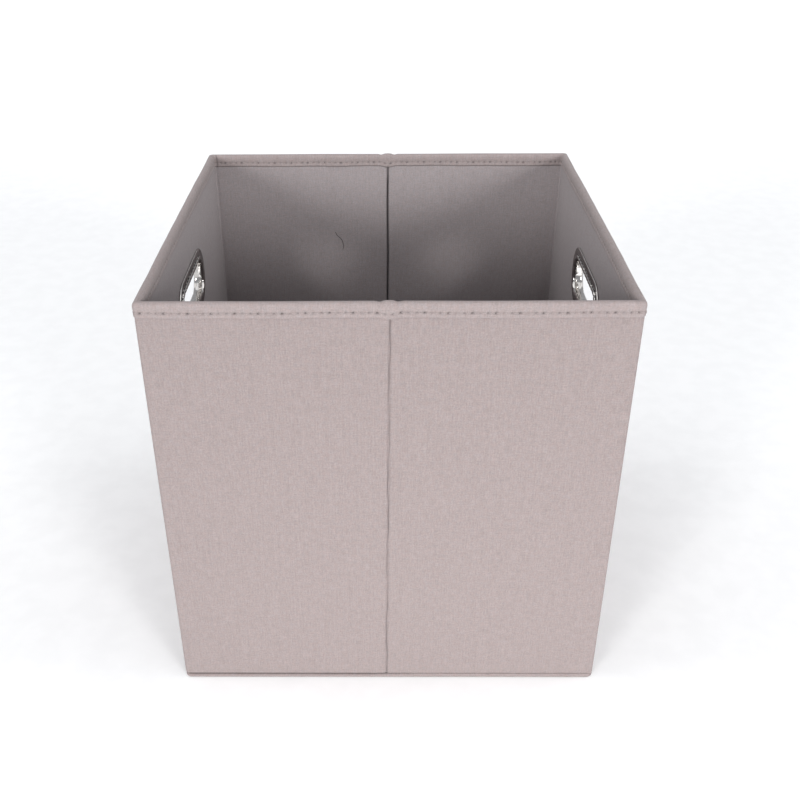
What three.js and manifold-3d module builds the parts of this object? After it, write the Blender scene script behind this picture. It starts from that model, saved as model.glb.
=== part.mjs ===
// A fold-flat fabric storage cube with a metal grip in each side wall.
// Origin at the middle of the base, +Z up, front towards -Y, the two grips on -X and +X. Millimetres.
//
// Six stiff panels stand round a loose base board. The two side walls are whole; the front and the back
// are each two halves with a crease between them. The creases fold inwards, the left wall comes up to
// the right one, and the cube packs flat. Fabric webs in the corners and creases are the hinges.

import * as THREE from 'three';
import { mergeVertices } from 'three/addons/utils/BufferGeometryUtils.js';
import Module from 'manifold-3d';

const wasm = await Module();
wasm.setup();

// ---- driving dimensions ----
const binWidth = 326;
const binDepth = 328;
const binHeight = 327;

const boardThickness = 2.4;
const fabricThickness = 0.8;
const layerGap = 0.3;

const hemHeight = 10.5;
const hemProud = 0.5;

const webThickness = 1;

const baseCoreThickness = 2;
const baseBoardClearance = 3.2;

const gripLength = 108;
const gripHeight = 47;
const gripEndFlat = 5;
const gripRimWidth = 8.5;
const gripDrop = 65.5;
const gripPlateThickness = 1;
const gripCurlWidth = 3.6;

// ---- sizes that follow ----
const coverDepth = fabricThickness + layerGap;
const wallThickness = boardThickness + 2 * coverDepth;
const outerX = binWidth / 2 - hemProud;
const outerY = binDepth / 2 - hemProud;
const innerX = outerX - wallThickness;
const innerY = outerY - wallThickness;
const bottomRidgeHeight = baseCoreThickness + 2 * coverDepth;
const panelBottom = bottomRidgeHeight + layerGap;
const hemBottom = binHeight - hemHeight;
const clothTop = hemBottom - layerGap;
const webGap = webThickness + 2 * layerGap;
const halfPanelLength = innerX - webGap - webGap / 2;
const sideWallLength = 2 * outerY;
const gripCentreZ = binHeight - gripDrop;
const gripCornerRadius = (gripHeight - gripEndFlat) / 2;

// How far a cutting shape runs past the face that it opens.
const cutPast = 1;

// ---- materials ----
const fabric = (colour) => new THREE.MeshStandardMaterial({ color: colour, roughness: 0.95, metalness: 0 });
const outerFabric = fabric(0xb9a8a7);
const liningFabric = fabric(0xa89b9b);
const hemFabric = fabric(0xb5a5a4);
const greyboard = new THREE.MeshStandardMaterial({ color: 0x8d8478, roughness: 0.9, metalness: 0 });
const nickel = new THREE.MeshStandardMaterial({ color: 0xc9c8c6, roughness: 0.12, metalness: 1 });

// ---- joining and cutting ----
function toSolid(geometry) {
  const bare = geometry.clone();
  bare.deleteAttribute('normal');
  bare.deleteAttribute('uv');
  const merged = mergeVertices(bare, 1e-4);
  return new wasm.Manifold(new wasm.Mesh({
    numProp: 3,
    vertProperties: Float32Array.from(merged.attributes.position.array),
    triVerts: Uint32Array.from(merged.index.array),
  }));
}

function toGeometry(solid) {
  const mesh = solid.getMesh();
  const geometry = new THREE.BufferGeometry();
  geometry.setAttribute('position', new THREE.BufferAttribute(mesh.vertProperties, 3));
  geometry.setIndex(new THREE.BufferAttribute(mesh.triVerts, 1));
  geometry.computeVertexNormals();
  return geometry;
}

function cut(body, ...tools) {
  return toGeometry(tools.reduce((solid, tool) => solid.subtract(toSolid(tool)), toSolid(body)));
}

function join(...pieces) {
  return toGeometry(pieces.map(toSolid).reduce((whole, piece) => whole.add(piece)));
}

// ---- basic shapes ----
function block([xLow, xHigh], [yLow, yHigh], [zLow, zHigh]) {
  const geometry = new THREE.BoxGeometry(xHigh - xLow, yHigh - yLow, zHigh - zLow);
  return geometry.translate((xLow + xHigh) / 2, (yLow + yHigh) / 2, (zLow + zHigh) / 2);
}

function roundedOutline(Outline, length, height, radius) {
  const outline = new Outline();
  const x = length / 2 - radius;
  const y = height / 2 - radius;
  outline.absarc(x, -y, radius, -Math.PI / 2, 0);
  outline.absarc(x, y, radius, 0, Math.PI / 2);
  outline.absarc(-x, y, radius, Math.PI / 2, Math.PI);
  outline.absarc(-x, -y, radius, Math.PI, Math.PI * 1.5);
  outline.closePath();
  return outline;
}

// The grip's outline, grown by `offset` all round.
function gripOutline(Outline, offset) {
  return roundedOutline(
    Outline, gripLength + 2 * offset, gripHeight + 2 * offset, gripCornerRadius + offset,
  );
}

// A prism of the grip's outline in a panel's own frame, from `inLow` to `inHigh` below its outer face.
function gripPrism(shape, along, inLow, inHigh) {
  const geometry = new THREE.ExtrudeGeometry(shape, {
    depth: inHigh - inLow,
    bevelEnabled: false,
    curveSegments: 7,
  });
  geometry.rotateX(Math.PI / 2);
  return geometry.translate(along, inHigh, gripCentreZ);
}

function gripRing(along, outside, inside, inLow, inHigh) {
  const shape = gripOutline(THREE.Shape, outside);
  shape.holes.push(gripOutline(THREE.Path, inside));
  return gripPrism(shape, along, inLow, inHigh);
}

function piece(name, geometry, material) {
  const mesh = new THREE.Mesh(geometry, material);
  mesh.name = name;
  return mesh;
}

// ---- panels ----
// A panel's own frame: x runs along it from 0 to its length, y goes into the wall from the outer face
// (0) to the inner face (wallThickness), and z is up from the floor.

// The barrel goes through the wall with a gap; its outside is this far in from the grip's outline.
const barrelOutside = -gripRimWidth;
const barrelInside = barrelOutside - gripPlateThickness;
const wallHole = barrelOutside + layerGap;

function gripHole(length) {
  return gripPrism(gripOutline(THREE.Shape, wallHole), length / 2, -cutPast, wallThickness + cutPast);
}

function panelBoard(length) {
  return block(
    [coverDepth, length - coverDepth],
    [coverDepth, wallThickness - coverDepth],
    [panelBottom + coverDepth, binHeight - coverDepth],
  );
}

// Outer fabric: the face, and the turned edges that hold the board at both ends and underneath.
function panelCover(length) {
  const liningSide = wallThickness - coverDepth;
  return cut(
    block([0, length], [0, liningSide], [panelBottom, clothTop]),
    block(
      [fabricThickness, length - fabricThickness],
      [fabricThickness, liningSide + cutPast],
      [panelBottom + fabricThickness, clothTop + cutPast],
    ),
  );
}

function panelLining(length) {
  return block([0, length], [wallThickness - fabricThickness, wallThickness], [panelBottom, clothTop]);
}

// The hem is a cap of doubled fabric over the top of the board, closed at both ends.
function panelHem(length, endProud) {
  return cut(
    block(
      [-endProud, length + endProud],
      [-hemProud, wallThickness + hemProud],
      [hemBottom, binHeight],
    ),
    block(
      [fabricThickness, length - fabricThickness],
      [fabricThickness, wallThickness - fabricThickness],
      [hemBottom - cutPast, binHeight - fabricThickness],
    ),
  );
}

function makePanel(name, length, { grip = false, hemEndProud = 0 } = {}) {
  const open = (geometry) => (grip ? cut(geometry, gripHole(length)) : geometry);
  const panel = new THREE.Group();
  panel.add(piece(`${name}_cover`, open(panelCover(length)), outerFabric));
  panel.add(piece(`${name}_board`, open(panelBoard(length)), greyboard));
  panel.add(piece(`${name}_lining`, open(panelLining(length)), liningFabric));
  panel.add(piece(`${name}_hem`, panelHem(length, hemEndProud), hemFabric));
  return panel;
}

// ---- grips ----
// The face plate lies on the outer fabric; its barrel goes through the wall and curls over the washer.
function makeGrip(name, wallLength) {
  const along = wallLength / 2;
  const faceInner = -layerGap;
  const washerOuter = wallThickness + layerGap;
  const washerInner = washerOuter + gripPlateThickness;
  const curlOuter = washerInner + layerGap;
  const curlInner = curlOuter + gripPlateThickness;
  const facePlate = gripRing(along, 0, barrelInside, faceInner - gripPlateThickness, faceInner);
  const barrel = gripRing(along, barrelOutside, barrelInside, faceInner - gripPlateThickness, curlInner);
  const curl = gripRing(along, barrelOutside + gripCurlWidth, barrelInside, curlOuter, curlInner);
  const grip = new THREE.Group();
  grip.add(piece(`${name}_grip_face`, join(facePlate, barrel, curl), nickel));
  grip.add(piece(
    `${name}_grip_washer`,
    gripRing(along, 0, wallHole, washerOuter, washerInner),
    nickel,
  ));
  return grip;
}

function makeSideWall(name, turn) {
  const wall = makePanel(`${name}_wall`, sideWallLength, { grip: true, hemEndProud: hemProud });
  wall.add(makeGrip(name, sideWallLength));
  wall.rotation.z = turn;
  wall.position.set(outerX * Math.sin(turn), -outerY * Math.sin(turn), 0);
  return wall;
}

// Front (turn 0) or back (turn 180 degrees): two halves and the web in the crease between them.
function makeCreasedWall(name, turn, rightHandHalf, leftHandHalf) {
  const wall = new THREE.Group();
  for (const [half, start] of [[rightHandHalf, webGap / 2], [leftHandHalf, -webGap / 2 - halfPanelLength]]) {
    const panel = makePanel(`${name}_${half}`, halfPanelLength);
    panel.position.x = start;
    wall.add(panel);
  }
  wall.add(piece(`${name}_crease_web`, makeWeb(0), outerFabric));
  wall.add(piece(`${name}_${rightHandHalf}_corner_web`, makeWeb(innerX - webGap / 2), outerFabric));
  wall.add(piece(`${name}_${leftHandHalf}_corner_web`, makeWeb(webGap / 2 - innerX), outerFabric));
  wall.position.set(0, -outerY * Math.cos(turn), 0);
  wall.rotation.z = turn;
  return wall;
}

// A web of the two fabrics sewn together, which is the hinge between two boards.
function makeWeb(middle) {
  return block(
    [middle - webThickness / 2, middle + webThickness / 2],
    [0, wallThickness],
    [panelBottom, clothTop],
  );
}

// ---- base ----
// The bottom fabric, with the ridge that its folded seam makes all round, under the walls.
function makeBottomCloth() {
  return cut(
    block([-outerX, outerX], [-outerY, outerY], [0, bottomRidgeHeight]),
    block([-innerX, innerX], [-innerY, innerY], [fabricThickness, bottomRidgeHeight + cutPast]),
  );
}

function makeBaseBoard() {
  const x = innerX - baseBoardClearance;
  const y = innerY - baseBoardClearance;
  const low = coverDepth;
  const coreTop = low + baseCoreThickness;
  const core = block([coverDepth - x, x - coverDepth], [coverDepth - y, y - coverDepth], [low, coreTop]);
  const cover = cut(
    block([-x, x], [-y, y], [low, coreTop + coverDepth]),
    block(
      [fabricThickness - x, x - fabricThickness],
      [fabricThickness - y, y - fabricThickness],
      [low - cutPast, coreTop + layerGap],
    ),
  );
  const base = new THREE.Group();
  base.add(piece('base_board_core', core, greyboard));
  base.add(piece('base_board_cover', cover, liningFabric));
  return base;
}

// ---- the bin ----
const bin = new THREE.Group();
bin.add(makeSideWall('right', Math.PI / 2));
bin.add(makeSideWall('left', -Math.PI / 2));
bin.add(makeCreasedWall('front', 0, 'right', 'left'));
bin.add(makeCreasedWall('back', Math.PI, 'left', 'right'));
bin.add(piece('bottom_cloth', makeBottomCloth(), outerFabric));
bin.add(makeBaseBoard());

export default bin;
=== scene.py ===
import math

import bmesh
import bpy
from mathutils import Matrix, Vector


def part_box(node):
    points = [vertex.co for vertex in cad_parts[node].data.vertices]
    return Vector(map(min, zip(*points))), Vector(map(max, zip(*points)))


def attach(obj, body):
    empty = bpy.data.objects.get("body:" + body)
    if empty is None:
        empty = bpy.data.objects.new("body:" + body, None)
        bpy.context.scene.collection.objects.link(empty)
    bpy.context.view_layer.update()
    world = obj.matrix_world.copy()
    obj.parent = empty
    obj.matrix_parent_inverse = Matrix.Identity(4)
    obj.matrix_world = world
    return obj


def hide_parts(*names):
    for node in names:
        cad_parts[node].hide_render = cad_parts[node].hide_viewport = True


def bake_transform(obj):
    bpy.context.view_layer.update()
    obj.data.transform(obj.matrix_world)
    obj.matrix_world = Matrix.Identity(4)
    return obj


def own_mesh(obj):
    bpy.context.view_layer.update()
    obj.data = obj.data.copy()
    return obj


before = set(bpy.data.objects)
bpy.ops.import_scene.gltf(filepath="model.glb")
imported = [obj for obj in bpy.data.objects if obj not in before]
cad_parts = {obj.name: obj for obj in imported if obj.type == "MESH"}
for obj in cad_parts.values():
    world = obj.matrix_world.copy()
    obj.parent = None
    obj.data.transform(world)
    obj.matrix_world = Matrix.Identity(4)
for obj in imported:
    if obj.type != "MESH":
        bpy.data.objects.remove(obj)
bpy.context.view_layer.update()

# ---- Wall boards ----
# Six pieces of 2.4 mm greyboard, cut square, that make the walls stiff. Each is slipped into the pocket
# between the outer cloth and the lining before the hem closes it, and the long ones have the grip's slot
# punched through. A board bows outwards a little, except along its edges, where the cloth holds it.

# The bin's main sizes come from the frame, to a tenth of a millimetre.
cover_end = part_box("right_wall_cover")[1]
half_width, half_depth = round(cover_end.x, 4), round(cover_end.y, 4)
rim_height = round(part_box("right_wall_hem")[1].z, 4)
wall_thickness = round(half_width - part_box("right_wall_lining")[0].x, 4)

# Each wall: the middle of its outer face, the way along it, the way into it, and half its length.
walls = {
    "front": (Vector((0, -half_depth, 0)), Vector((1, 0, 0)), Vector((0, 1, 0)), half_width),
    "right": (Vector((half_width, 0, 0)), Vector((0, 1, 0)), Vector((-1, 0, 0)), half_depth),
    "back": (Vector((0, half_depth, 0)), Vector((-1, 0, 0)), Vector((0, -1, 0)), half_width),
    "left": (Vector((-half_width, 0, 0)), Vector((0, -1, 0)), Vector((1, 0, 0)), half_depth),
}
next_wall = {"front": "right", "right": "back", "back": "left", "left": "front"}
last_wall = {onward: wall for wall, onward in next_wall.items()}
creased = ("front", "back")

# How much cloth each edge holds flat, and how far each wall bows out between its held edges.
held_edge = 0.012
bow_of = {"front": 0.0004, "right": 0.0003, "back": 0.0003, "left": 0.0002}

grip_low, grip_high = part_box("right_grip_face")
grip_height = round((grip_low.z + grip_high.z) / 2, 4)
grip_half_length, grip_half_height = round(grip_high.y, 4), round((grip_high.z - grip_low.z) / 2, 4)
grip_round = 0.021
grip_flat = 0.058
slot_edge = -0.0082

# The corners' rounding outside and inside, and how far in from a corner the gap between two boards lies.
corner_round = 0.0026
inner_corner, inner_round = 0.0058, 0.0012
corner_gap = 0.006
crease_valley, crease_groove, edge_valley = 0.0009, 0.0019, 0.00008
crease_slant = 0.0075


def bow(wall, s, z):
    """How far a wall swells outwards there; the metal grip keeps the middle of a side wall flat."""
    half = walls[wall][3]
    if wall in creased:
        across = (abs(s) - half / 2) / (half / 2 - held_edge)
    else:
        across = max(0, abs(s) - grip_flat) / (half - held_edge - grip_flat)
    if abs(across) >= 1:
        return 0.0
    held = (1 - across * across) ** 2
    ripple = 0.00016 * math.sin(52 * s + 17 * z) + 0.00012 * math.sin(61 * z - 23 * s + 1)
    loose = held if wall in creased else 4 * held * (1 - held)
    return held * bow_of[wall] * z / rim_height + loose * ripple * min(1, z / 0.03)


def on_wall(wall, s):
    """The same place given on the wall that it is on, when s runs past a corner."""
    if s > walls[wall][3]:
        return next_wall[wall], s - walls[wall][3] - walls[next_wall[wall]][3]
    if s < -walls[wall][3]:
        return last_wall[wall], s + walls[wall][3] + walls[last_wall[wall]][3]
    return wall, s


def spot(wall, s, n, z):
    """The point s along a wall from its middle, n in from its outer face, and z up."""
    wall, s = on_wall(wall, s)
    middle, along, inward, half = walls[wall]
    to_corner = half - abs(s)
    outer, inner = (abs(s), 0.0), (abs(s), wall_thickness)
    if to_corner < corner_round:
        turn = math.pi / 4 * (1 - to_corner / corner_round)
        outer = (
            half - corner_round + corner_round * math.sin(turn),
            corner_round - corner_round * math.cos(turn),
        )
        inner = (
            half - inner_corner + inner_round * math.sin(turn),
            inner_corner - inner_round * math.cos(turn),
        )
    elif to_corner < held_edge:
        share = (to_corner - corner_round) / (held_edge - corner_round)
        inner = (half - inner_corner - share * (held_edge - inner_corner), wall_thickness)
    share = n / wall_thickness
    run = outer[0] + (inner[0] - outer[0]) * share
    depth = outer[1] + (inner[1] - outer[1]) * share
    if wall in creased:
        outside, inside = min(1, max(0, 1 - share)), min(1, max(0, share))
        free = 1 - 0.85 * min(1, max(0, (z - 0.3145) / 0.002))
        lean = s - (z - 0.24) * crease_slant
        depth += free * outside * crease_valley * math.exp(-((lean / 0.0010) ** 2))
        depth += free * outside * edge_valley * math.exp(-(((to_corner - corner_gap) / 0.0008) ** 2))
        depth -= free * inside * crease_groove * math.exp(-((s / 0.00085) ** 2))
    depth -= bow(wall, s, z)
    return middle + along * math.copysign(run, s) + inward * depth + Vector((0, 0, z))


def painted_crease_shade(wall, s, n, z):
    """How much painted shade the cloth gets there, from 0 to 1: a dark line painted along the creases, where
    shade falls.
    """
    wall, s = on_wall(wall, s)
    if wall not in creased or n < -0.0001 or n > wall_thickness + 0.0001:
        return 0.0
    # Inside, a painted shade line along the groove, darker further down the bin; outside, a fainter one along
    # the slanting crease.
    if n > wall_thickness / 2:
        wander = 0.0003 * math.sin(70 * z + 1)
        return min(1, (0.3165 - z) / 0.03 + 0.5) * math.exp(-(((s - wander) / 0.00085) ** 2))
    wander = 0.0004 * math.sin(90 * z) + 0.00025 * math.sin(260 * z + 1)
    faint = 0.42 + 0.12 * math.sin(47 * z) + 0.08 * math.sin(160 * z + 2)
    return faint * math.exp(-(((s - (z - 0.24) * crease_slant - wander) / 0.00045) ** 2))


def grip_reach(angle, offset):
    """How far the grip's outline, grown by offset, lies from its centre in that direction."""
    across, up = abs(math.cos(angle)), abs(math.sin(angle))
    half_length, half_height = grip_half_length + offset, grip_half_height + offset
    reach = min(half_length / max(across, 1e-9), half_height / max(up, 1e-9))
    curve = grip_round + offset
    centre = (half_length - curve, half_height - curve)
    if reach * across > centre[0] and reach * up > centre[1]:
        toward = centre[0] * across + centre[1] * up
        reach = toward + math.sqrt(toward**2 - centre[0] ** 2 - centre[1] ** 2 + curve**2)
    return reach


ring_margin = 0.007


def pattern(columns, rows, slot=False):
    """The flat pattern of a sheet: its nodes and faces, with rings of faces round a grip slot.

    A column is (s, n added) on the right side and the same on the wrong side. A row is (n, z) on each.
    """
    nodes = []
    climb = 0.0
    for j, (n, z, back_n, back_z) in enumerate(rows):
        if j:
            climb += math.hypot(n - rows[j - 1][0], z - rows[j - 1][1])
        for s, more, back_s, back_more in columns:
            nodes.append(((s, n + more, z), (back_s, back_n + back_more, back_z), (s + more, climb)))
    wide = len(columns)
    hole = (0, 0, 0, 0)
    if slot:
        near = [i for i, c in enumerate(columns) if abs(c[0]) < grip_half_length + ring_margin]
        reach = grip_half_height + ring_margin
        level = [j for j, r in enumerate(rows) if abs(r[1] - grip_height) < reach]
        hole = (near[0], near[-1], level[0], level[-1])
    west, east, south, north = hole
    faces = [
        (j * wide + i, j * wide + i + 1, (j + 1) * wide + i + 1, (j + 1) * wide + i)
        for j in range(len(rows) - 1)
        for i in range(wide - 1)
        if not (west <= i < east and south <= j < north)
    ]
    if slot:
        ring = [south * wide + i for i in range(west, east)]
        ring += [j * wide + east for j in range(south, north)]
        ring += [north * wide + i for i in range(east, west, -1)]
        ring += [j * wide + west for j in range(north, south, -1)]
        outside = [nodes[k] for k in ring]
        for step in (0.35, 0.65, 0.88, 1.0):
            inside = []
            for right, wrong, flat in outside:
                angle = math.atan2(right[2] - grip_height, right[0])
                reach = grip_reach(angle, slot_edge)
                to_s = math.cos(angle) * reach - right[0]
                to_z = math.sin(angle) * reach - (right[2] - grip_height)
                nodes.append((
                    (right[0] + to_s * step, right[1], right[2] + to_z * step),
                    (wrong[0] + to_s * step, wrong[1], wrong[2] + to_z * step),
                    (flat[0] + to_s * step, flat[1] + to_z * step),
                ))
                inside.append(len(nodes) - 1)
            for k in range(len(ring)):
                after = (k + 1) % len(ring)
                faces.append((ring[k], ring[after], inside[after], inside[k]))
            ring = inside
    return nodes, faces


crisp_turn = math.radians(52)


def make_piece(name, corners, faces, flats=None, painted_shade_amounts=None):
    """A mesh piece from its corner points and faces, with its edges crisp where they turn sharply.

    Flats are the places on the flat cloth, in metres, and the last list says how much painted shade each
    corner gets.
    """
    mesh = bpy.data.meshes.new(name)
    mesh.from_pydata([tuple(c) for c in corners], [], faces)
    if flats:
        layer = mesh.uv_layers.new(name="cloth")
        for loop in mesh.loops:
            layer.data[loop.index].uv = flats[loop.vertex_index]
        # The painted shade amounts are kept in the fold attribute, which darkens the cloth's colour.
        shade = mesh.attributes.new("fold", "FLOAT", "POINT")
        shade.data.foreach_set("value", painted_shade_amounts or [0.0] * len(corners))
    work = bmesh.new()
    work.from_mesh(mesh)
    bmesh.ops.recalc_face_normals(work, faces=work.faces)
    work.to_mesh(mesh)
    work.free()
    mesh.polygons.foreach_set("use_smooth", [True] * len(mesh.polygons))
    mesh.set_sharp_from_angle(angle=crisp_turn)
    made = bpy.data.objects.new(name, mesh)
    bpy.context.scene.collection.objects.link(made)
    return made


cloth_per_wall = 0.326


def cut_sheet(name, wall, nodes, faces, place=spot, shade=painted_crease_shade):
    """A sheet of real thickness from its pattern, closed along every open edge."""
    corners, flats, painted_shade_amounts = [], [], []
    start = cloth_per_wall * list(walls).index(wall)
    for side in (0, 1):
        for node in nodes:
            corners.append(place(wall, *node[side]))
            flats.append((node[2][0] + start, node[2][1]))
            # Each corner's painted shade comes from the given shade function.
            painted_shade_amounts.append(shade(wall, *node[0]))
    count = len(nodes)
    both = [*faces, *(tuple(k + count for k in reversed(face)) for face in faces)]
    open_edges = {}
    for face in faces:
        for a, b in zip(face, face[1:] + face[:1]):
            if (b, a) in open_edges:
                del open_edges[(b, a)]
            else:
                open_edges[(a, b)] = True
    both += [(b, a, a + count, b + count) for a, b in open_edges]
    return make_piece(name, corners, both, flats, painted_shade_amounts=painted_shade_amounts)


def spread(low, high, step):
    """Even places from low to high, about step apart."""
    count = max(1, round((high - low) / step))
    return [low + (high - low) * k / count for k in range(count + 1)]


def straight(places):
    """Columns that only run along the wall, at those places."""
    return [(s, 0.0, s, 0.0) for s in places]


def node(tree, kind, feeds=(), **settings):
    """One shader node: its settings, and what feeds its sockets, each a value or another node's output."""
    made = tree.nodes.new(kind)
    for key, value in settings.items():
        setattr(made, key, value)
    for socket, value in dict(feeds).items():
        if isinstance(value, bpy.types.NodeSocket):
            tree.links.new(value, made.inputs[socket])
        else:
            made.inputs[socket].default_value = value
    return made


def new_finish(name, roughness, **fixed):
    """An empty finish with its shader, and the values that are the same all over it."""
    finish = bpy.data.materials.new(name)
    finish.use_nodes = True
    tree = finish.node_tree
    tree.nodes.clear()
    shader = node(tree, "ShaderNodeBsdfPrincipled", {"Roughness": roughness})
    for socket, value in fixed.items():
        shader.inputs[socket.replace("_", " ")].default_value = value
    output = node(tree, "ShaderNodeOutputMaterial")
    tree.links.new(shader.outputs["BSDF"], output.inputs["Surface"])
    return finish, tree, shader


def noise(tree, where, scale, detail=2.0, roughness=0.55):
    """Smooth noise at that scale over the places given."""
    feeds = {"Vector": where, "Scale": scale, "Detail": detail, "Roughness": roughness}
    return node(tree, "ShaderNodeTexNoise", feeds).outputs["Fac"]


def ramp(tree, fac, stops):
    """A blend of colours along a factor."""
    made = node(tree, "ShaderNodeValToRGB", {"Fac": fac})
    made.color_ramp.elements[0].position = stops[0][0]
    made.color_ramp.elements[0].color = stops[0][1]
    made.color_ramp.elements[1].position = stops[-1][0]
    made.color_ramp.elements[1].color = stops[-1][1]
    for place, colour in stops[1:-1]:
        made.color_ramp.elements.new(place).color = colour
    return made.outputs["Color"]


greyboard, tree, shader = new_finish("greyboard", 0.92)
place = node(tree, "ShaderNodeTexCoord").outputs["Object"]
fleck = noise(tree, place, 900, 4, 0.7)
pulp = noise(tree, place, 60, 3)
mixed = node(tree, "ShaderNodeMath", {0: fleck, 1: pulp}, operation="MULTIPLY").outputs[0]
board_dark, board_light = (0.17, 0.14, 0.11, 1), (0.36, 0.31, 0.25, 1)
tree.links.new(
    ramp(tree, mixed, [(0.12, board_dark), (0.42, board_light)]), shader.inputs["Base Color"]
)
raised = node(tree, "ShaderNodeBump", {"Height": fleck, "Strength": 0.5, "Distance": 0.0001})
tree.links.new(raised.outputs["Normal"], shader.inputs["Normal"])

# Each panel: its wall, where it starts and ends along that wall, and the body that it is part of.
side_end = half_depth - held_edge
panels = {
    "front_left": ("front", -0.1563, -0.0008, "front_left_panel"),
    "front_right": ("front", 0.0008, 0.1563, "front_right_panel"),
    "right_wall": ("right", -0.1609, 0.1609, "right_wall"),
    "back_right": ("back", -0.1563, -0.0008, "back_right_panel"),
    "back_left": ("back", 0.0008, 0.1563, "back_left_panel"),
    "left_wall": ("left", -0.1609, 0.1609, "left_wall"),
}

# The boards are drawn 2.1 mm thick and a little short at the top, so that the cloth stays clear of them.
board_outer, board_inner = 0.00125, 0.00335
board_low, board_high = 0.0057, 0.3253
board_inset = 0.0011

for name, (wall, start, end, body) in panels.items():
    levels = spread(board_low, board_high, 0.008)
    nodes, faces = pattern(
        straight(spread(start + board_inset, end - board_inset, 0.008)),
        [(board_outer, z, board_inner, z) for z in levels],
        slot=name.endswith("wall"),
    )
    board = cut_sheet(f"{name}_stiffener", wall, nodes, faces)
    board.data.materials.append(greyboard)
    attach(board, body)
    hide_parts(f"{name}_board")

# ---- Outer cloth ----
# One strip of plain-weave cloth with a linen look goes right round the outside, from the bottom seam to under
# the hem. It is drawn here as the flat of each panel and, between them, the 24 mm that bends at a crease
# or a corner. The cloth isn't joined at the back left corner, where the panel and the wall only meet.

cloth_thickness = 0.0008
cloth_low, cloth_high = 0.0045, 0.3185
yarn_pitch = 0.42


def weave(name, shades, sheen):
    """Plain weave from three shades, darkest first: slubs each way, single yarns, and faint mottling,
    darkened with painted shade where the fold attribute says.
    """
    finish, tree, shader = new_finish(
        name, 0.93, Sheen_Weight=sheen, Sheen_Roughness=0.45, Specular_IOR_Level=0.25
    )
    flat = node(tree, "ShaderNodeUVMap", uv_map="cloth").outputs["UV"]
    scaled = node(tree, "ShaderNodeMapping", {"Vector": flat, "Scale": (1000, 1000, 1000)})
    apart = node(tree, "ShaderNodeSeparateXYZ", {"Vector": scaled.outputs[0]})

    def ridge(axis):
        """The round back of the yarns that lie next to each other along that axis."""
        turns = node(
            tree, "ShaderNodeMath", {0: apart.outputs[axis], 1: math.pi / yarn_pitch},
            operation="MULTIPLY",
        )
        wave = node(tree, "ShaderNodeMath", {0: turns.outputs[0]}, operation="SINE")
        return node(tree, "ShaderNodeMath", {0: wave.outputs[0]}, operation="ABSOLUTE").outputs[0]

    warp, weft = ridge("X"), ridge("Y")
    over = node(
        tree, "ShaderNodeTexChecker", {"Vector": scaled.outputs[0], "Scale": 1 / yarn_pitch}
    ).outputs["Fac"]
    yarns = node(tree, "ShaderNodeMix", {0: over, 2: warp, 3: weft}).outputs[0]

    def slubs(stretch, scale):
        """Thick and thin places of the yarns, long one way and narrow the other."""
        long = node(tree, "ShaderNodeMapping", {"Vector": scaled.outputs[0], "Scale": stretch})
        return noise(tree, long.outputs[0], scale, 3, 0.6)

    up_slubs = slubs((1.0, 0.12, 1.0), 1.3)
    across_slubs = slubs((0.12, 1.0, 1.0), 1.3)
    long_slubs = slubs((0.8, 0.02, 1.0), 1.0)
    mottle = noise(tree, scaled.outputs[0], 0.16, 4, 0.65)
    fluff = noise(tree, scaled.outputs[0], 0.9, 4, 0.75)

    def blend_of(first, second, share):
        return node(tree, "ShaderNodeMix", {0: share, 2: first, 3: second}).outputs[0]

    slub = blend_of(up_slubs, across_slubs, 0.45)
    tone = blend_of(blend_of(slub, fluff, 0.5), blend_of(long_slubs, mottle, 0.5), 0.22)
    tone = blend_of(tone, yarns, 0.05)
    dark, middle, light = shades
    colour = ramp(tree, tone, [(0.405, dark), (0.5, middle), (0.595, light)])
    hue = noise(tree, scaled.outputs[0], 0.34, 3, 0.7)
    cool, plain, warm = (0.972, 1.0, 1.018, 1), (1, 1, 1, 1), (1.028, 0.997, 0.99, 1)
    tint = ramp(tree, hue, [(0.36, cool), (0.5, plain), (0.64, warm)])
    dyed = node(
        tree, "ShaderNodeMix", {0: 1.0, 6: colour, 7: tint}, data_type="RGBA",
        blend_type="MULTIPLY",
    )
    # Painted shade: the fold attribute blends the colour towards a near-black in the creases, the needle
    # holes and under the hem's lower edge inside.
    fold = node(tree, "ShaderNodeAttribute", attribute_name="fold").outputs["Fac"]
    painted_shade_colour = tuple(0.12 * c for c in dark[:3]) + (1,)
    shaded = node(tree, "ShaderNodeMix", {0: fold, 6: dyed.outputs[2], 7: painted_shade_colour}, data_type="RGBA")
    tree.links.new(shaded.outputs[2], shader.inputs["Base Color"])
    height = blend_of(blend_of(yarns, slub, 0.45), fluff, 0.2)
    raised = node(tree, "ShaderNodeBump", {"Height": height, "Strength": 0.55, "Distance": 0.00012})
    tree.links.new(raised.outputs["Normal"], shader.inputs["Normal"])
    return finish


outer_shades = ((0.208, 0.171, 0.167, 1), (0.252, 0.210, 0.204, 1), (0.298, 0.252, 0.246, 1))
outer_cloth = weave("outer_cloth", outer_shades, 0.12)

# The cloth's upright section, as (n, z) on its right side: turned under at the bottom, tucked into the hem.
outer_section = [
    (0.0026, cloth_low), (0.0014, 0.00435), (0.0006, 0.00445), (0.0002, 0.0049), (0.00004, 0.0056),
    (0.0, 0.0066), *((0.0, z) for z in spread(0.012, 0.308, 0.0067)),
    (0.0, 0.3135), (0.0, 0.3152), (0.00012, 0.3160), (0.00036, 0.3168), (0.00038, cloth_high),
]


def thick(section, thickness):
    """Rows with the wrong side that much behind the right one, square to the section."""
    rows = []
    for k, (n, z) in enumerate(section):
        before, after = section[max(0, k - 1)], section[min(len(section) - 1, k + 1)]
        dn, dz = after[0] - before[0], after[1] - before[1]
        length = math.hypot(dn, dz)
        rows.append((n, z, n + thickness * dz / length, z - thickness * dn / length))
    return rows


# No column lies on a fold itself: the nearest two are this far from it.
fold_half = 0.00015


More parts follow.
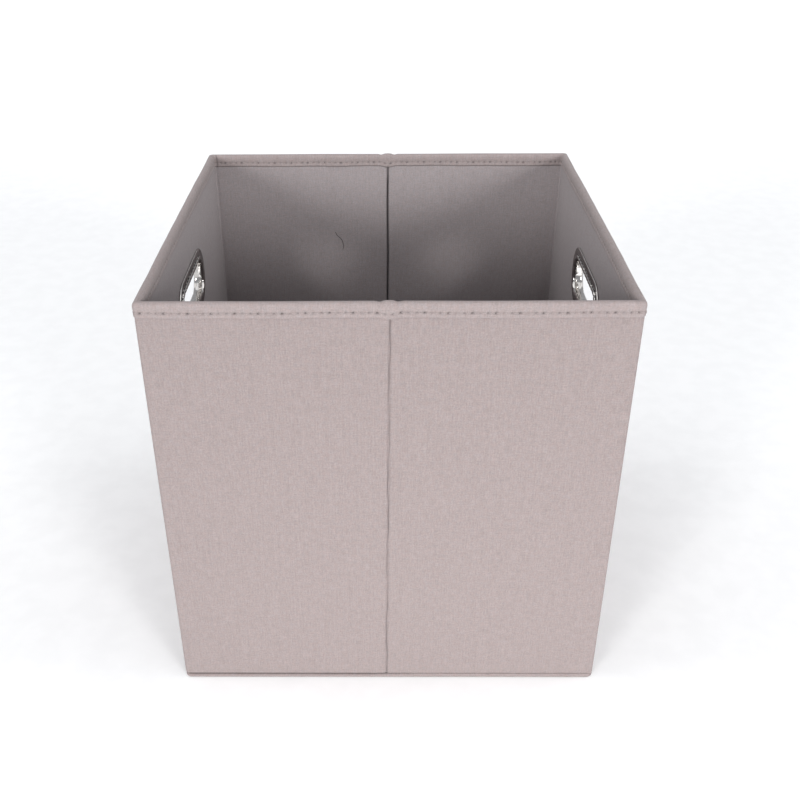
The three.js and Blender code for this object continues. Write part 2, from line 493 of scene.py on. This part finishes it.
def fine(places, centres):
    """Those places with closer ones put in round each centre, where the cloth bends sharply."""
    low, high = places[0], places[-1]
    near = [c + sign * d for c in centres for sign in (-1, 1)
            for d in (fold_half, *(0.00025 * k for k in range(2, 14)))]
    clear = [p for p in places if all(abs(p - c) > 0.0003 for c in centres)]
    kept = sorted({round(p, 6) for p in [*clear, *near] if low <= p <= high})
    return [p for k, p in enumerate(kept) if k == 0 or p - kept[k - 1] > 0.00012]


# Each hinge strip: its wall, where its middle is on it, the two bodies, and which way is towards the first.
hinges = {
    "front_crease": ("front", 0.0, "front_right_panel", "front_left_panel", 0.0, 1),
    "back_crease": ("back", 0.0, "back_right_panel", "back_left_panel", 0.0, 1),
    "front_right_corner": ("front", half_width, "right_wall", "front_right_panel", 0.1565, 1),
    "back_right_corner": ("right", half_depth, "right_wall", "back_right_panel", 0.1565, 1),
    "front_left_corner": ("left", half_depth, "left_wall", "front_left_panel", -0.1565, -1),
}


def hinge(piece, name):
    """Bakes the piece's placement into its mesh; the strip is left unattached, at rest between its two
    bodies.
    """
    wall, middle, first, second, x, toward = hinges[name]
    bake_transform(piece)


def span(name):
    """Where a panel's flat cloth starts and ends, held_edge short of each crease and corner; at the open
    corner the callers run it on to the panel's end.
    """
    wall, start, end, body = panels[name]
    if wall not in creased:
        return -side_end, side_end
    return (held_edge, half_width - held_edge) if start > 0 else (held_edge - half_width, -held_edge)


def bend_places(name):
    """The columns of a hinge strip, close together where it bends."""
    wall, middle = hinges[name][:2]
    if "crease" in name:
        return fine(spread(-held_edge, held_edge, 0.002), [0.0])
    places = spread(middle - held_edge, middle + held_edge, 0.002)
    gap = middle - corner_gap if wall in creased else middle + corner_gap
    arc = [middle + corner_round * k / 6 for k in range(-6, 7)]
    return fine(sorted({*places, *arc}), [gap])


outer_rows = thick(outer_section, cloth_thickness)
open_gap = half_width - corner_gap

for name, (wall, start, end, body) in panels.items():
    low, high = span(name)
    columns = straight(spread(low, high, 0.007))
    if name == "back_left":
        edge = open_gap - 0.0002
        columns = straight(fine(spread(low, edge - 0.0004, 0.007), []))
        columns += [(edge - 0.0001, 0.0001, edge - 0.0008, 0.0), (edge, 0.0005, edge - 0.0009, 0.0)]
        columns += [(edge, k, edge - 0.0008, k - 0.0008) for k in (0.0012, 0.0022, 0.0032)]
    nodes, faces = pattern(columns, outer_rows, slot=name.endswith("wall"))
    cover = cut_sheet(f"{name}_outer_cloth", wall, nodes, faces)
    cover.data.materials.append(outer_cloth)
    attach(cover, body)
    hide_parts(f"{name}_cover")

for name, (wall, middle, first, second, x, toward) in hinges.items():
    nodes, faces = pattern(straight(bend_places(name)), outer_rows)
    strip = cut_sheet(f"{name}_outer_cloth", wall, nodes, faces)
    strip.data.materials.append(outer_cloth)
    hinge(strip, name)
    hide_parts(f"{name}_web")

edge = open_gap + 0.0002
arc = [half_width + corner_round * k / 6 for k in range(-6, 7)]
columns = [(edge, k, edge + 0.0008, k - 0.0008) for k in (0.0032, 0.0022, 0.0012)]
columns += [(edge, 0.0005, edge + 0.0009, 0.0), (edge + 0.0001, 0.0001, edge + 0.0008, 0.0)]
columns += straight(sorted({*spread(edge + 0.0004, half_width + held_edge, 0.0015), *arc}))
nodes, faces = pattern(columns, outer_rows)
strip = cut_sheet("back_left_corner_outer_cloth", "back", nodes, faces)
strip.data.materials.append(outer_cloth)
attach(strip, "left_wall")
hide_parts("back_left_corner_web")

# ---- Lining ----
# The same cloth again, facing inwards, in shades that are a little lighter and cooler than the outer cloth's:
# a painted cool tint for the shade inside the bin. Between the boards it is pushed down into the gap at each
# crease, which with the painted shade along it is the dark line inside, and it turns round a small radius in
# the corners. Its lower edge is sewn into the bottom seam, and its top is tucked into the hem.

# Painted cool tint: these shades are cooler than the outer cloth's, for the shade inside the bin.
lining_shades = ((0.231, 0.202, 0.203, 1), (0.279, 0.247, 0.248, 1), (0.329, 0.295, 0.296, 1))
lining_cloth = weave("lining_cloth", lining_shades, 0.10)

lining_section = [
    (wall_thickness, cloth_high), (wall_thickness - 0.00038, 0.3178), (wall_thickness - 0.00036, 0.3168),
    (wall_thickness - 0.00012, 0.3160), (wall_thickness, 0.3152), (wall_thickness, 0.3135),
    *((wall_thickness, z) for z in reversed(spread(0.012, 0.308, 0.0067))),
    (wall_thickness, 0.0066), (0.0045, 0.0054), (0.0043, 0.0046),
]
lining_rows = thick(lining_section, cloth_thickness)


# The lining's slanting wrinkle: its middle, the way it runs, its height, width and length, and its end.
wrinkle_s, wrinkle_z = 0.133, 0.285
wrinkle_run, wrinkle_rise = 0.80, 0.60
wrinkle_high, wrinkle_wide, wrinkle_long = 0.0006, 0.0035, 0.020
wrinkle_end = 0.150


def soft_spot(wall, s, n, z):
    """As spot, with the lining's slack: a wrinkle that runs slantwise into the back left corner."""
    point = spot(wall, s, n, z)
    wall, s = on_wall(wall, s)
    if wall != "back" or s < 0.02 or s > wrinkle_end:
        return point
    along = (s - wrinkle_s) * wrinkle_run - (z - wrinkle_z) * wrinkle_rise
    across = (s - wrinkle_s) * wrinkle_rise + (z - wrinkle_z) * wrinkle_run
    lift = wrinkle_high * math.exp(-((across / wrinkle_wide) ** 2) - (along / wrinkle_long) ** 2)
    edge = min(1, max(0, wrinkle_end - s) / 0.010)
    return point + walls[wall][2] * lift * edge


lining_split = half_width - 0.0048
for name, (wall, start, end, body) in panels.items():
    low, high = span(name)
    if name == "back_left":
        high = lining_split - 0.0001
    places = spread(low, high, 0.0045 if name == "back_left" else 0.007)
    nodes, faces = pattern(straight(places), lining_rows, slot=name.endswith("wall"))
    lining = cut_sheet(f"{name}_lining_cloth", wall, nodes, faces, soft_spot)
    lining.data.materials.append(lining_cloth)
    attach(lining, body)
    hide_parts(f"{name}_lining")

for name, (wall, middle, first, second, x, toward) in hinges.items():
    nodes, faces = pattern(straight(bend_places(name)), lining_rows)
    strip = cut_sheet(f"{name}_lining_cloth", wall, nodes, faces, soft_spot)
    strip.data.materials.append(lining_cloth)
    hinge(strip, name)

places = spread(lining_split + 0.0001, half_width + corner_round, 0.0004)
places += spread(half_width + corner_round, half_width + held_edge, 0.0016)[1:]
nodes, faces = pattern(straight(places), lining_rows)
strip = cut_sheet("back_left_corner_lining_cloth", "back", nodes, faces, soft_spot)
strip.data.materials.append(lining_cloth)
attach(strip, "left_wall")

# ---- Hem ----
# A band of the outer cloth, folded double over the top of every wall and sewn through 7 mm below the rim.
# It stands a little proud of both faces, bunches up where a crease is, and its two ends overlap on the back.

hem_shades = ((0.226, 0.187, 0.182, 1), (0.273, 0.230, 0.224, 1), (0.324, 0.277, 0.270, 1))
hem_cloth = weave("hem_cloth", hem_shades, 0.14)

stitch_height = 0.3200
stitch_pitch = cloth_per_wall / 65
hem_outline = [
    (0.00015, 0.31680), (-0.00020, 0.31650), (-0.00046, 0.31685), (-0.00055, 0.31770),
    (-0.00052, 0.31880), (-0.00038, 0.31945), (-0.00030, 0.32000), (-0.00038, 0.32055),
    (-0.00052, 0.32115), (-0.00058, 0.32260), (-0.00052, 0.32420), (-0.00022, 0.32550),
    (0.00050, 0.32650), (0.00140, 0.32688), (0.00230, 0.32700),
]
hem_outline += [(wall_thickness - n, z) for n, z in reversed(hem_outline[:-1])]
hem_rows = [
    (n, z, min(wall_thickness - 0.0003, max(0.0003, n)), min(z, 0.32605)) for n, z in hem_outline
]


# Where the hem's two ends overlap on the back: from, to, the width of its edges, and how proud it stands.
lap_start, lap_end, lap_edge, lap_proud = 0.0352, 0.0560, 0.0005, 0.00045


def hem_spot(wall, s, n, z):
    """As spot, with the hem's own shape: stitch hollows, the bunched crease and the overlap."""
    wall, s = on_wall(wall, s)
    outward = -1 if n < wall_thickness / 2 else 1
    proud = max(0, -n, n - wall_thickness)
    at_line = math.exp(-(((z - stitch_height) / 0.0011) ** 2))
    in_hole = 0.5 - 0.5 * math.cos(2 * math.pi * s / stitch_pitch)
    wander = 0.00025 * math.sin(31 * s + 2) + 0.00012 * math.sin(113 * s)
    below = math.exp(-(((z - stitch_height + 0.0009) / 0.0009) ** 2))
    if proud > 0:
        n += outward * at_line * (0.00015 - 0.00055 * in_hole**1.3)
        swell = 0.00040 if outward < 0 else 0.00005
        n += outward * below * swell * (1 - in_hole) * (1 + 0.6 * math.sin(731 * s))
        n += outward * 0.00010 * math.sin(173 * s + 300 * z) * min(1, (0.327 - z) / 0.003)
    low = min(1, max(0, (0.3255 - z) / 0.005))
    z += low * wander
    if wall in creased:
        bunch = math.exp(-((s / 0.0048) ** 2))
        dip = math.exp(-(((abs(s) - 0.0058) / 0.0019) ** 2))
        pinch = math.exp(-((s / 0.0007) ** 2)) + 0.6 * math.exp(-(((abs(s) - 0.0072) / 0.0008) ** 2))
        if proud > 0:
            n += outward * (0.00050 * bunch - 0.00030 * pinch)
        z += (1 - low) * (0.00050 * bunch - 0.00075 * dip) - low * 0.0013 * bunch
    if wall == "back" and proud > 0:
        lap = min(1, max(0, (s - lap_start) / lap_edge)) * min(1, max(0, (lap_end - s) / lap_edge))
        n += outward * lap_proud * lap
    return spot(wall, s, n, z)


def painted_hem_shade(wall, s, n, z):
    """Painted shade in the needle holes between the stitches, and a painted shadow line under the hem's lower
    edge inside.
    """
    wall, s = on_wall(wall, s)
    in_hole = (0.5 - 0.5 * math.cos(2 * math.pi * s / stitch_pitch)) ** 1.5
    uneven = 0.62 + 0.38 * math.sin(2.1 * round(s / stitch_pitch - 0.5) + 3 * n / wall_thickness)
    hole = in_hole * uneven * math.exp(-(((z - stitch_height) / 0.0007) ** 2))
    if n < wall_thickness / 2:
        return 0.9 * hole
    return min(1, 0.8 * hole + 0.6 * math.exp(-(((z - 0.3167) / 0.00030) ** 2)))


def hem_places(low, high, folded):
    """Columns at the hem's two ends, at every quarter of a stitch, and close together at a fold."""
    step = stitch_pitch / 4
    inner = [k * step for k in range(math.ceil(low / step), math.floor(high / step) + 1)]
    kept = [p for p in inner if low + 0.0002 < p < high - 0.0002]
    if folded:
        kept = sorted([p for p in kept if abs(p) > 0.0003] + [-0.0006, -fold_half, fold_half, 0.0006])
    return [low, *kept, high]


thread_radius, thread_sides = 0.00030, 6
thread_outward = 0.00010
thread_finish, tree, shader = new_finish("sewing_thread", 0.7, Sheen_Weight=0.2)
place = node(tree, "ShaderNodeTexCoord").outputs["Object"]
ply = noise(tree, place, 1800, 2)
thread_dark, thread_light = (0.20, 0.165, 0.16, 1), (0.34, 0.29, 0.28, 1)
tree.links.new(ramp(tree, ply, [(0.3, thread_dark), (0.7, thread_light)]), shader.inputs["Base Color"])
raised = node(tree, "ShaderNodeBump", {"Height": ply, "Strength": 0.6, "Distance": 0.0001})
tree.links.new(raised.outputs["Normal"], shader.inputs["Normal"])


def stitch(corners, faces, wall, s, side, lean, lift, reach):
    """One stitch: a short length of thread that comes up through the hem and goes down again."""
    face = hem_outline[6][0] if side < 0 else wall_thickness - hem_outline[6][0]
    face -= thread_outward
    first = len(corners)
    path = []
    arch = ((-1, 0.00060), (-0.86, 0.00022), (-0.4, 0.0), (0.4, 0.0), (0.86, 0.00022), (1, 0.00060))
    for step, sink in arch:
        at = s + reach * step
        path.append(hem_spot(wall, at, face - side * (sink + 0.00002), stitch_height + lift + lean * step))
    end, sides = len(path) - 1, thread_sides
    for k, point in enumerate(path):
        ahead = (path[min(k + 1, end)] - path[max(k - 1, 0)]).normalized()
        across = ahead.cross(Vector((0, 0, 1))).normalized()
        upward = across.cross(ahead).normalized()
        size = thread_radius * (0.45 if k in (0, end) else 1.0)
        for turn in range(sides):
            angle = 2 * math.pi * turn / sides
            corners.append(point + size * (math.cos(angle) * across + math.sin(angle) * upward))
    for k in range(end):
        for turn in range(sides):
            a, b = first + k * sides + turn, first + k * sides + (turn + 1) % sides
            faces.append((a, b, b + sides, a + sides))
    faces.append(tuple(first + turn for turn in reversed(range(sides))))
    faces.append(tuple(first + end * sides + turn for turn in range(sides)))


def sew_hem(name, wall, low, high, fix):
    """A length of hem with its row of stitches on both faces; fix says how they move."""
    nodes, faces = pattern(straight(hem_places(low, high, "crease" in name)), hem_rows)
    hem = cut_sheet(f"{name}_hem_cloth", wall, nodes, faces, hem_spot, painted_hem_shade)
    hem.data.materials.append(hem_cloth)
    fix(hem)
    corners, faces = [], []
    for k in range(math.ceil(low / stitch_pitch), math.ceil(high / stitch_pitch)):
        s = k * stitch_pitch
        if "crease" in name and k == 0:
            continue
        for side in (-1, 1):
            uneven = math.sin(7.3 * k + 2 * side + len(name))
            lean = 0.00025 * math.sin(2.7 * k)
            stitch(corners, faces, wall, s + 0.0004 * uneven, side, lean, 0, 0.0019 - 0.0003 * uneven)
            if wall == "back" and side > 0 and -0.036 < s < -0.010:
                lean = 0.0005 * math.sin(5.1 * k)
                stitch(corners, faces, wall, s + 0.002, side, lean, 0.0009, 0.0013)
    thread = make_piece(f"{name}_stitching", corners, faces)
    thread.data.materials.append(thread_finish)
    fix(thread)
    return hem


open_hem = half_width - 0.0046
for name, (wall, start, end, body) in panels.items():
    low, high = span(name)
    if name == "back_left":
        high = open_hem - 0.0003
    hem = sew_hem(name, wall, low, high, lambda piece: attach(piece, body))
    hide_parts(f"{name}_hem")
for name, (wall, middle, first, second, x, toward) in hinges.items():
    sew_hem(name, wall, middle - held_edge, middle + held_edge, lambda piece: hinge(piece, name))
sew_hem(
    "back_left_corner", "back", open_hem + 0.0003, half_width + held_edge,
    lambda piece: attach(piece, "left_wall"),
)

# ---- Loose thread ----
# An end of dark sewing thread, about 20 mm long, that was never trimmed. It isn't sewn to anything and
# clings to the lining on the back wall.

loose_path = [
    (0.0492, 0.2540), (0.0486, 0.2520), (0.0474, 0.2502), (0.0457, 0.2487), (0.0441, 0.2471),
    (0.0430, 0.2450), (0.0424, 0.2427), (0.0419, 0.2404), (0.0421, 0.2384), (0.0428, 0.2366),
]
loose_radius, sides = 0.00028, thread_sides
corners, faces = [], []
for k, (s, z) in enumerate(loose_path):
    point = spot("back", s, wall_thickness + loose_radius + 0.0002 * math.sin(1.3 * k), z)
    for turn in range(sides):
        angle = 2 * math.pi * turn / sides
        round_by = Vector((math.cos(angle), math.sin(angle), 0.3 * math.cos(angle)))
        corners.append(point + loose_radius * round_by)
for k in range(len(loose_path) - 1):
    for turn in range(sides):
        a, b = sides * k + turn, sides * k + (turn + 1) % sides
        faces.append((a, b, b + sides, a + sides))
faces += [tuple(reversed(range(sides))), tuple(range(len(corners) - sides, len(corners)))]
dark_finish, tree, shader = new_finish("loose_thread_finish", 0.75)
place = node(tree, "ShaderNodeTexCoord").outputs["Object"]
twist = noise(tree, place, 1500, 2)
loose_dark, loose_light = (0.030, 0.026, 0.027, 1), (0.075, 0.062, 0.062, 1)
tree.links.new(ramp(tree, twist, [(0.3, loose_dark), (0.7, loose_light)]), shader.inputs["Base Color"])
loose_thread = make_piece("loose_thread", corners, faces)
loose_thread.data.materials.append(dark_finish)
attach(loose_thread, "back_left_panel")

# ---- Grips ----
# Each side wall has an oval finger slot, bound by a pressed steel grip with a bright plating. The face plate
# is a domed ring on the outer cloth; its barrel goes through the wall, and its end is slit into petals that
# are rolled over a flat washer on the lining, so that the cloth is clamped between the two.

chrome, tree, shader = new_finish("chrome", 0.1, Metallic=1.0)
place = node(tree, "ShaderNodeTexCoord").outputs["Object"]
haze = noise(tree, place, 240, 4, 0.65)
rubbed = node(tree, "ShaderNodeMapRange", {0: haze, 1: 0.35, 2: 0.7, 3: 0.05, 4: 0.16}).outputs[0]
tree.links.new(rubbed, shader.inputs["Roughness"])
steel_dark, steel_light = (0.40, 0.38, 0.365, 1), (0.60, 0.58, 0.56, 1)
tree.links.new(ramp(tree, haze, [(0.3, steel_dark), (0.7, steel_light)]), shader.inputs["Base Color"])
ripple = noise(tree, place, 70, 2)
raised = node(tree, "ShaderNodeBump", {"Height": ripple, "Strength": 0.4, "Distance": 0.0010})
tree.links.new(raised.outputs["Normal"], shader.inputs["Normal"])

# Sections as (offset from the grip's outline, n), each a closed loop.
face_section = [
    (0.0000, -0.0002), (0.0001, -0.0007), (-0.0003, -0.0013), (-0.0012, -0.0018), (-0.0028, -0.0022),
    (-0.0050, -0.0023), (-0.0070, -0.0022), (-0.0084, -0.0017), (-0.0092, -0.0009), (-0.0095, 0.0002),
    (-0.0095, 0.0022), (-0.0095, 0.0046), (-0.0094, 0.0060), (-0.0090, 0.0068), (-0.0082, 0.0072),
    (-0.0072, 0.0072), (-0.0062, 0.0069), (-0.0058, 0.0064), (-0.0062, 0.0062), (-0.0072, 0.0064),
    (-0.0080, 0.0063), (-0.0085, 0.0056), (-0.0085, 0.0030), (-0.0085, 0.0002), (-0.0078, -0.0008),
    (-0.0065, -0.0013), (-0.0050, -0.0014), (-0.0028, -0.0013), (-0.0014, -0.0009), (-0.0008, -0.0002),
]
washer_section = [
    (0.0000, 0.0048), (0.0003, 0.0050), (0.0004, 0.0055), (0.0003, 0.0060), (-0.0002, 0.0063),
    (-0.0012, 0.0064), (-0.0028, 0.0063), (-0.0045, 0.0061), (-0.0070, 0.0060), (-0.0080, 0.0058),
    (-0.0080, 0.0052), (-0.0068, 0.0050), (-0.0045, 0.0051), (-0.0022, 0.0051), (-0.0010, 0.0048),
]

# The petals are the face section's rolled end, from its 14th point to its 21st. A notch parts each two.
petal_width, petal_radius = 0.0066, grip_round - 0.008
petal_points, petal_tip = range(13, 21), 18
petal_root, notch_share, notch_sink = 0.0090, 0.38, 0.0005
curve_steps, straight_step = 36, 0.0008


def outline_steps():
    """Steps round the grip: the centre that each is measured from, its direction and its distance round."""
    steps = []
    length, height = grip_half_length - grip_round, grip_half_height - grip_round
    centres = [(length, height), (-length, height), (-length, -height), (length, -height)]
    run = 0.0
    for quarter, (x, z) in enumerate(centres):
        onward = centres[(quarter + 1) % 4]
        for k in range(curve_steps):
            angle = math.pi / 2 * (quarter + k / curve_steps)
            steps.append((x, z, angle, run))
            run += math.pi / 2 * petal_radius / curve_steps
        gap = math.hypot(onward[0] - x, onward[1] - z)
        count = max(2, round(gap / straight_step))
        for k in range(count):
            share = k / count
            turn = math.pi / 2 * (quarter + 1)
            steps.append((x + (onward[0] - x) * share, z + (onward[1] - z) * share, turn, run))
            run += gap / count
    return steps


def press_ring(name, wall, section, petals=False):
    """A ring of that section round the grip's outline."""
    corners, faces = [], []
    steps = outline_steps()
    for x, z, angle, run in steps:
        part = abs(math.sin(math.pi * run / petal_width)) ** 0.6
        for k, (offset, n) in enumerate(section):
            if petals and k in petal_points:
                offset -= (1 - part) * notch_share * (offset + petal_root)
                n -= (1 - part) * notch_sink * (1 if k < petal_tip else 0.4)
            reach = grip_round + offset
            s, up = x + reach * math.cos(angle), z + reach * math.sin(angle)
            corners.append(spot(wall, s, n, grip_height + up))
    around = len(section)
    for k in range(len(steps)):
        after = (k + 1) % len(steps)
        for j in range(around):
            beside = (j + 1) % around
            faces.append((k * around + j, after * around + j, after * around + beside, k * around + beside))
    ring = make_piece(name, corners, faces)
    ring.data.materials.append(chrome)
    return ring


for side in ("right", "left"):
    face = press_ring(f"{side}_grip_plate", side, face_section, petals=True)
    washer = press_ring(f"{side}_grip_backing", side, washer_section)
    for piece, stands_for in ((face, "face"), (washer, "washer")):
        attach(piece, f"{side}_wall")
        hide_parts(f"{side}_grip_{stands_for}")

# ---- Bottom cloth ----
# The outer cloth's bottom, a square sewn to the walls all round. Its seam allowance is folded into a narrow
# ridge under the walls, which shows as a lip at the floor.


def lay_rings(name, half_x, half_y, rounding, section, slack=0.0, count=208):
    """A closed cloth shape from rings, each inset from the edge and at a height, and capped in the middle."""
    corners, flats, faces = [], [], []
    turns = [2 * math.pi * (k + 0.5) / count for k in range(count)]
    diagonal = math.atan2(half_y, half_x)
    for corner in (diagonal, math.pi - diagonal, math.pi + diagonal, 2 * math.pi - diagonal):
        turns = [t for t in turns if abs(t - corner) > 0.03]
        turns += [corner + 0.0035 * k for k in range(-8, 9)]
    turns.sort()
    count = len(turns)
    for inset, z, out in section:
        wide, deep, curve = half_x - inset, half_y - inset, max(0.0006, rounding - inset)
        for angle in turns:
            across, up = math.cos(angle), math.sin(angle)
            reach = min(wide / max(abs(across), 1e-9), deep / max(abs(up), 1e-9))
            x, y = reach * across, reach * up
            over_x, over_y = abs(x) - (wide - curve), abs(y) - (deep - curve)
            if over_x > 0 and over_y > 0:
                pull = min(1, curve / math.hypot(over_x, over_y))
                x = math.copysign(wide - curve + over_x * pull, x)
                y = math.copysign(deep - curve + over_y * pull, y)
            sag = 0.0001 + 0.0001 * math.sin(70 * x + 1) * math.sin(55 * y)
            parted = slack * max(-0.09, min(1, (0.03 - x) / 0.05)) if y < 0 and inset < 0.004 else 0
            corners.append((x, y, z * (1 - parted) + (sag if inset > 0.01 else 0)))
            flats.append((x + out * across, y + out * up))
    for ring in range(len(section) - 1):
        for k in range(count):
            a, b = ring * count + k, ring * count + (k + 1) % count
            faces.append((a, b, b + count, a + count))
    faces.append(tuple(reversed(range(count))))
    last = (len(section) - 1) * count
    faces.append(tuple(last + k for k in range(count)))
    return make_piece(name, corners, faces, flats)


inward_steps = [0.150, 0.120, 0.090, 0.060, 0.036, 0.020, 0.012]
bottom_section = [(inset, 0.0, 0.0) for inset in inward_steps]
bottom_section += [
    (0.0060, 0.0, 0.0), (0.0020, 0.0, 0.0), (0.0009, 0.0001, 0.0), (0.0003, 0.0006, 0.001),
    (-0.0002, 0.0014, 0.002), (-0.0003, 0.0022, 0.003), (-0.0002, 0.0031, 0.004),
    (0.0003, 0.0038, 0.005), (0.0012, 0.0041, 0.006), (0.0024, 0.0042, 0.007), (0.0034, 0.0040, 0.008),
    (0.0039, 0.0032, 0.009), (0.0041, 0.0020, 0.010), (0.0046, 0.0012, 0.011), (0.0060, 0.0009, 0.012),
]
bottom_section += [(inset, 0.0008, 0.0) for inset in reversed(inward_steps)]
bottom = lay_rings("bottom_outer_cloth", half_width, half_depth, 0.0045, bottom_section, slack=0.22)
bottom.data.materials.append(outer_cloth)
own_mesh(bottom)
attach(bottom, "right_wall")
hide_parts("bottom_cloth")

# ---- Base board ----
# A loose square of 2 mm greyboard wrapped in the lining cloth, which is glued over its edges. It lies on
# the bottom cloth, holds the walls square, and lifts straight out before the bin is folded.

base_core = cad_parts["base_board_core"]
base_core.data.materials.clear()
base_core.data.materials.append(greyboard)
board_steps = [0.140, 0.110, 0.080, 0.050, 0.028, 0.014, 0.006]
wrap_section = [(inset, 0.0011, 0.0) for inset in board_steps]
wrap_section += [
    (0.0020, 0.0011, 0.0), (0.0008, 0.0012, 0.001), (0.0002, 0.0017, 0.0015), (0.0, 0.0026, 0.0025),
    (0.0002, 0.0034, 0.0035), (0.0008, 0.0039, 0.0045), (0.0020, 0.0040, 0.0055),
]
wrap_section += [(inset, 0.0040, 0.006) for inset in reversed(board_steps)]
base_cover = lay_rings("base_board_cloth", 0.1547, 0.1557, 0.004, wrap_section)
base_cover.data.materials.append(lining_cloth)
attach(base_cover, "base_board")
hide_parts("base_board_cover")

# ---- Studio ----
# A plain white floor with pale light from all round, two low soft lamps in front, one on each side and one
# overhead. They stand far away, so that the light is the same all over the bin.

corners = [(x, y, 0.0) for x, y in ((-9, -6), (9, -6), (9, 12), (-9, 12))]
floor = make_piece("studio_floor", corners, [(0, 1, 2, 3)])
floor_finish, tree, shader = new_finish("floor_paper", 0.95, Specular_IOR_Level=0.1)
place = node(tree, "ShaderNodeTexCoord").outputs["Object"]
grain = noise(tree, place, 40, 3)
paper_dark, paper_light = (0.92, 0.92, 0.92, 1), (0.94, 0.94, 0.94, 1)
tree.links.new(ramp(tree, grain, [(0.4, paper_dark), (0.6, paper_light)]), shader.inputs["Base Color"])
floor.data.materials.append(floor_finish)

world = bpy.data.worlds.new("studio")
bpy.context.scene.world = world
world.use_nodes = True
world.node_tree.nodes["Background"].inputs["Color"].default_value = (0.975, 1.0, 1.045, 1)
world.node_tree.nodes["Background"].inputs["Strength"].default_value = 0.50


def far_lamp(name, round_by, height, power, softness):
    """A far soft lamp: degrees round from the front, degrees up, and how wide it looks in degrees."""
    light = bpy.data.lights.new(name, "SUN")
    light.energy, light.angle = power, math.radians(softness)
    across, up = math.radians(round_by), math.radians(height)
    shining = Vector((
        -math.sin(across) * math.cos(up), math.cos(across) * math.cos(up), -math.sin(up),
    ))
    made = bpy.data.objects.new(name, light)
    made.rotation_mode = "QUATERNION"
    made.rotation_quaternion = shining.to_track_quat("-Z", "Y")
    bpy.context.scene.collection.objects.link(made)


far_lamp("front_left_lamp", -35, 12, 1.76, 17)
far_lamp("front_right_lamp", 35, 12, 1.82, 17)
far_lamp("left_lamp", -90, 32, 0.44, 30)
far_lamp("right_lamp", 90, 32, 0.42, 30)
far_lamp("high_lamp", 0, 80, 0.88, 70)

# A low strip lamp in front fills the lower half of the front wall.
strip_light = bpy.data.lights.new("front_strip_lamp", "AREA")
strip_light.shape = "RECTANGLE"
strip_light.size, strip_light.size_y, strip_light.energy = 0.9, 0.12, 0.70
strip_lamp = bpy.data.objects.new("front_strip_lamp", strip_light)
strip_lamp.location = (0.18, -0.56, 0.07)
strip_lamp.rotation_euler = (math.radians(90), 0, 0)
strip_lamp.visible_camera = False
bpy.context.scene.collection.objects.link(strip_lamp)

# The camera stands in front of the middle and looks down into the bin.
pitch, yaw, roll = math.radians(31.632), math.radians(-0.657), math.radians(0.412)
ahead = Vector((
    math.sin(yaw) * math.cos(pitch), math.cos(yaw) * math.cos(pitch), -math.sin(pitch),
))
right = Vector((math.cos(yaw), -math.sin(yaw), 0))
above = right.cross(ahead)
axes = (
    math.cos(roll) * right - math.sin(roll) * above,
    math.sin(roll) * right + math.cos(roll) * above,
    -ahead,
)
lens = bpy.data.cameras.new("camera")
lens.lens, lens.sensor_width = 44.697, 36
lens.shift_x, lens.shift_y = 0.030, 0.0375
lens.clip_start, lens.clip_end = 0.02, 60
camera = bpy.data.objects.new("camera", lens)
camera_spot = (-0.00213, -0.73740, 0.58644)
camera.matrix_world = Matrix.Translation(camera_spot) @ Matrix(
    [[axes[column][row] for column in range(3)] for row in range(3)]
).to_4x4()
bpy.context.scene.collection.objects.link(camera)
bpy.context.scene.camera = camera
bpy.context.scene.view_settings.view_transform = "Standard"
